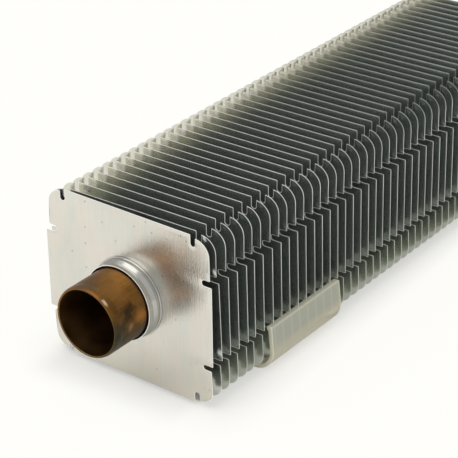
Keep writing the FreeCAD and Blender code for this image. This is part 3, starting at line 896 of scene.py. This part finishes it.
# %% Set out the row
ROW_SHIFT, ROW_LEAN, ROW_BOW = -0.17, (0.008, 0, -0.017), 0.68
UNEVEN, TILT, BEND = 0.05, math.radians(0.12), 0.25
builder = row.modifiers.new("fin row", "NODES")
builder.node_group = stack
values = {"Fin": row_master, "First": (SECOND_FIN + ROW_SHIFT) * MM, "Pitch": PITCH * MM,
          "Height": AXIS * MM, "Lean": ROW_LEAN, "Bow": ROW_BOW, "Uneven": UNEVEN * MM,
          "Tilt": TILT, "Bend": BEND * MM, "Seed": 7, "Sheet": fin_sheet, "Edge": cut_edge}
for item in stack.interface.items_tree:
    if item.in_out == "INPUT" and item.name in values:
        builder[item.identifier] = values[item.name]
row_mesh = settled(row, "fin_row")
row.modifiers.remove(builder)
bpy.data.objects.remove(row)
bpy.data.objects.remove(row_master)
kept("fin_row", row_mesh, ["fin_%02d" % i for i in range(2, FIN_TOTAL + 1)])

# %% [markdown]
# ## The water tube
# A tube cutter rolls the rim inwards as it parts the tube, and leaves a faint score where its
# wheel first touched. The tube is a line turned about its axis: along the outside, round the
# rolled rim and back along the bore, so it is one closed wall.

# %% Tube
TUBE_RADIUS, TUBE_WALL, RIM = 11.1125, 0.8, 0.28
SCORE_PLACE, SCORE_DEPTH, SCORE_SIDE = 3.1, 0.04, 0.16
BORE = TUBE_RADIUS - TUBE_WALL
BORE_ROUND, RIM_LENGTH = 0.12, 0.9


def tube_line():
    """Half section of the tube's wall as (radius, place along), from the front end."""
    end = -TUBE_END
    outside = [(BORE, end + BORE_ROUND, BORE_ROUND, 2), (BORE + 0.14, end, BORE_ROUND, 2),
               (TUBE_RADIUS - RIM, end, 0.16, 3), (TUBE_RADIUS, end + RIM_LENGTH, 0.8, 4),
               (TUBE_RADIUS, end + SCORE_PLACE - SCORE_SIDE, 0, 1),
               (TUBE_RADIUS - SCORE_DEPTH, end + SCORE_PLACE, 0, 1),
               (TUBE_RADIUS, end + SCORE_PLACE + SCORE_SIDE, 0, 1)]
    rear = [(r, -y, radius, steps) for r, y, radius, steps in reversed(outside[:4])]
    return rounded(outside + rear)


def turned(line, around):
    """A closed line turned about the tube's axis, in metres."""
    mesh = bmesh.new()
    round_angles = [2 * math.pi * i / around for i in range(around)]
    rings = [[mesh.verts.new((p.x * MM * math.cos(a), p.y * MM,
                              (AXIS + p.x * math.sin(a)) * MM))
              for a in round_angles] for p in line]
    bridge(mesh, rings + rings[:1])
    bmesh.ops.recalc_face_normals(mesh, faces=mesh.faces)
    return built(mesh, "turned")


tube_mesh = turned(tube_line(), 128)
tube_mesh.materials.append(copper)
kept("copper_tube", tube_mesh, ["water_tube"])

# %% [markdown]
# ## The glides
# A glide is a moulded clip round the lower corner of nine fins, with an edge hooked into each of
# the two slots. Its section is drawn once, run along the tube, and given small rounded edges by a
# Bevel modifier. The left ones are the same moulding turned end for end, so their rounded end is
# the near one.

# %% Section of a glide
WALL, GAP, LOBE_RADIUS = 1.15, 0.8, 5.2
LOBE_CENTRE_X, LOBE_CENTRE_Z = 24.95, -21.5
INNER = LOBE_RADIUS + GAP
OUTER = INNER + WALL
HOOK_X, HOOK_Z = 29.75, -26.3
LEAN_IN = 0.7


def under_corner(top_x, top_z, radius):
    """Where a side that leans from its top edge and touches the round meets the underside."""
    reach = Vector((top_x - LOBE_CENTRE_X, top_z - LOBE_CENTRE_Z))
    lean = math.atan2(reach.y, reach.x) - math.acos(radius / reach.length)
    low = LOBE_CENTRE_Z - radius
    return top_x + (top_z - low) * math.tan(lean), low


def glide_section():
    """Closed section of a right glide, in millimetres from the tube's axis."""
    top_out = (LOBE_CENTRE_X + OUTER - LEAN_IN, -SLOT_Z)
    top_in = (LOBE_CENTRE_X + INNER - LEAN_IN, -SLOT_Z - WALL)
    under_out, under_in = LOBE_CENTRE_Z - OUTER, LOBE_CENTRE_Z - INNER
    return rounded([
        (HOOK_X, -SLOT_Z, 0.2, 2),
        (HOOK_X, -SLOT_Z - WALL, 0.2, 2),
        (*top_in, 0.5, 3),
        (*under_corner(*top_in, INNER), INNER, 16),
        (SLOT_X + WALL, under_in, 0.4, 3),
        (SLOT_X + WALL, HOOK_Z, 0.2, 2),
        (SLOT_X, HOOK_Z, 0.2, 2),
        (SLOT_X, under_out, 0.35, 3),
        (*under_corner(*top_out, OUTER), OUTER, 20),
        (*top_out, 0.3, 3)])


print("glide section: %d points" % len(glide_section()))

# %% Build one glide
GLIDE_LENGTH, FAR_ROUND = 35.8, 0.9
STRAIGHT_STEPS, ROUND_STEPS = 12, (0, 20, 40, 55, 70, 80, 90)


def glide_blank(name, near_end, mirrored):
    """A glide from its near end on; the side wall's top drops round its far end."""
    mesh = bmesh.new()
    section = glide_section()
    stations = [GLIDE_LENGTH * i / STRAIGHT_STEPS for i in range(STRAIGHT_STEPS)]
    stations += [GLIDE_LENGTH - FAR_ROUND * (1 - math.sin(math.radians(degrees)))
                 for degrees in ROUND_STEPS]
    rings = []
    for along in stations:
        past = max(0.0, along - (GLIDE_LENGTH - FAR_ROUND))
        drop = FAR_ROUND - math.sqrt(max(0.0, FAR_ROUND ** 2 - past ** 2))
        ring = []
        for point in section:
            z = min(point.y, -SLOT_Z - drop)
            x = -point.x if mirrored else point.x
            y = GLIDE_LENGTH - along if mirrored else along
            ring.append(mesh.verts.new((x * MM, (near_end + y) * MM, (AXIS + z) * MM)))
        rings.append(ring)
    bridge(mesh, rings)
    mesh.faces.new(rings[0])
    mesh.faces.new(rings[-1])
    bmesh.ops.recalc_face_normals(mesh, faces=mesh.faces)
    return built(mesh, name)


print("a glide is drawn out in %d steps" % (STRAIGHT_STEPS + len(ROUND_STEPS) - 1))

# %% Round its edges, and place the four
SOFT_EDGE, SHARP_FROM = 0.15, math.radians(50)


def softened(name, blank):
    """The same mesh with every sharp edge rounded a little."""
    item = new_object(name + "_blank", blank)
    softener = item.modifiers.new("soft ends", "BEVEL")
    softener.width = SOFT_EDGE * MM
    softener.segments = 2
    softener.limit_method = "ANGLE"
    softener.angle_limit = SHARP_FROM
    softener.use_clamp_overlap = True
    finished = settled(item, name)
    bpy.data.objects.remove(item)
    return finished


for solid in ("glide_front_right", "glide_front_left", "glide_rear_right", "glide_rear_left"):
    near_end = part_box(solid)[0][1] / MM
    name = solid.replace("glide", "nylon_glide")
    blank = glide_blank(name, near_end, mirrored=solid.endswith("left"))
    moulded = softened(name, blank)
    moulded.materials.append(nylon)
    kept(name, moulded, [solid])

# %% [markdown]
# ## Floor and light
# The element lies on white paper. A bright sky all round gives the even light, and one broad lamp
# from the front left adds the soft shadow and the highlights on the metal.
#
# As in a catalogue picture, the paper is washed out to pure white, and only the shade close by is
# left. The paper's own material does that: the camera sees a white glow in place of the lit
# paper, in half beside the element and almost wholly a little further off. Under the fins there
# is none, so the shade is deepest there. Ahead of the front fin the glow itself is a little
# dimmer, most of all on the left, and that keeps the soft shade in front of it. Mirror images
# show a weaker glow, so that the metal mirrors pale paper too. It adds no light to anything else.

# %% Floor
HALF_FLOOR = 6
floor_corners = [(x * HALF_FLOOR, y * HALF_FLOOR, 0)
                 for x, y in ((-1, -1), (1, -1), (1, 1), (-1, 1))]
floor_mesh = bpy.data.meshes.new("floor")
floor_mesh.from_pydata(floor_corners, [], [(0, 1, 2, 3)])
floor = new_object("floor", floor_mesh)
paper, tree, shader, place = new_material("white paper", Roughness=0.9, Specular_IOR_Level=0.0)
fibre = effect(tree, cloud_group, Place=place, Scale=40.0, Contrast=0.6)
tree.links.new(mix_colour(tree, fibre, (0.93, 0.93, 0.915), (0.94, 0.94, 0.925)),
               shader.inputs["Base Color"])
floor_mesh.materials.append(paper)
print("floor: %d m square, of %s" % (2 * HALF_FLOOR, paper.name))

# %% How far a place on the floor is from the element's outline
folded = node(tree, "ShaderNodeVectorMath", {0: place}, operation="ABSOLUTE")
past = node(tree, "ShaderNodeVectorMath",
            {0: folded.outputs[0], 1: (HALF_WIDTH * MM, -FIRST_FIN * MM, 0)},
            operation="SUBTRACT")
sides = axes(tree, past.outputs[0])
beyond = node(tree, "ShaderNodeVectorMath", {0: past.outputs[0], 1: (0, 0, 0)},
              operation="MAXIMUM")
outside = node(tree, "ShaderNodeVectorMath", {0: beyond.outputs[0]}, operation="LENGTH")
inside = maths(tree, "MINIMUM", maths(tree, "MAXIMUM", sides["X"], sides["Y"]), 0.0)
away = maths(tree, "ADD", outside.outputs["Value"], inside)
print("the outline is %.1f mm wide and %.1f mm long" % (2 * HALF_WIDTH, -2 * FIRST_FIN))

# %% How much of the glow the camera sees
NEAR_SHARE, FAR_SHARE, SHADE_REACH = 0.50, 0.93, 16.5
spot = axes(tree, place)
narrow = node(tree, "ShaderNodeMapRange",
              {"Value": spot["Y"], "From Min": FIRST_FIN * MM, "From Max": 0.03,
               "To Min": 1.0, "To Max": 1.75}).outputs["Result"]
washed = node(tree, "ShaderNodeMapRange",
              {"Value": maths(tree, "MULTIPLY", maths(tree, "ADD", away, 0.003), narrow),
               "From Min": 0.0, "From Max": SHADE_REACH * MM,
               "To Min": NEAR_SHARE, "To Max": FAR_SHARE}).outputs["Result"]
under = maths(tree, "MULTIPLY", ramp(tree, sides["X"], -0.0002, -0.0012),
              ramp(tree, sides["Y"], -0.0019, -0.0032))
under = maths(tree, "MULTIPLY", under, ramp(tree, spot["X"], 0.0245, 0.0225))
uncovered = maths(tree, "SUBTRACT", 1.0, maths(tree, "MULTIPLY", under, 0.95))
print("glow: %.2f beside the element, %.2f from %.1f mm on"
      % (NEAR_SHARE, FAR_SHARE, SHADE_REACH))

# %% How far the glow is dimmed ahead of the front fin
DIM_AHEAD, DIM_LEFT = 0.10, 0.19
ahead = maths(tree, "MULTIPLY", ramp(tree, spot["X"], 0.026, 0.020), DIM_AHEAD)
on_left = maths(tree, "MULTIPLY", ramp(tree, spot["X"], 0.004, -0.018), DIM_LEFT)
dimmed = maths(tree, "MULTIPLY", maths(tree, "ADD", ahead, on_left),
               ramp(tree, spot["X"], -0.035, -0.023))
dimmed = maths(tree, "MULTIPLY", dimmed, ramp(tree, away, 0.018, -0.003))
print("dimmed by up to %.2f" % (DIM_AHEAD + DIM_LEFT))

# %% The glow in place of the paper
MIRRORED_SHARE = 0.26
ray = node(tree, "ShaderNodeLightPath").outputs
mirrored = maths(tree, "MAXIMUM", ray["Is Glossy Ray"], ray["Is Transmission Ray"])
direct = maths(tree, "MULTIPLY", ray["Is Camera Ray"],
               maths(tree, "MULTIPLY", washed, uncovered))
seen = maths(tree, "MAXIMUM", direct, maths(tree, "MULTIPLY", mirrored, MIRRORED_SHARE))
strength = maths(tree, "SUBTRACT", 1.0, maths(tree, "MULTIPLY", dimmed, ray["Is Camera Ray"]))
glow = node(tree, "ShaderNodeEmission", {"Color": (1.0, 0.995, 0.96, 1), "Strength": strength})
shown = node(tree, "ShaderNodeMixShader", {0: seen, 1: shader.outputs[0], 2: glow.outputs[0]})
tree.links.new(shown.outputs[0], tree.nodes["Material Output"].inputs["Surface"])
print("mirror images show %.2f of the glow" % MIRRORED_SHARE)

# %% Light
SKY, SUN = 0.76, 1.15
LAMP_FROM = Vector((-0.27, -0.38, 1.0))
world = bpy.data.worlds.new("studio")
world.use_nodes = True
sky = world.node_tree.nodes["Background"].inputs
sky["Color"].default_value = (1.0, 0.995, 0.975, 1)
sky["Strength"].default_value = SKY
bpy.context.scene.world = world
lamp_data = bpy.data.lights.new("soft lamp", "SUN")
lamp_data.energy = SUN
lamp_data.angle = math.radians(60)
lamp_data.color = (1.0, 0.985, 0.95)
lamp = bpy.data.objects.new("soft lamp", lamp_data)
bpy.context.scene.collection.objects.link(lamp)
lamp.rotation_euler = LAMP_FROM.to_track_quat("Z", "Y").to_euler()
bpy.context.scene.view_settings.view_transform = "Standard"
print("light: sky %.2f, lamp %.2f" % (SKY, SUN))
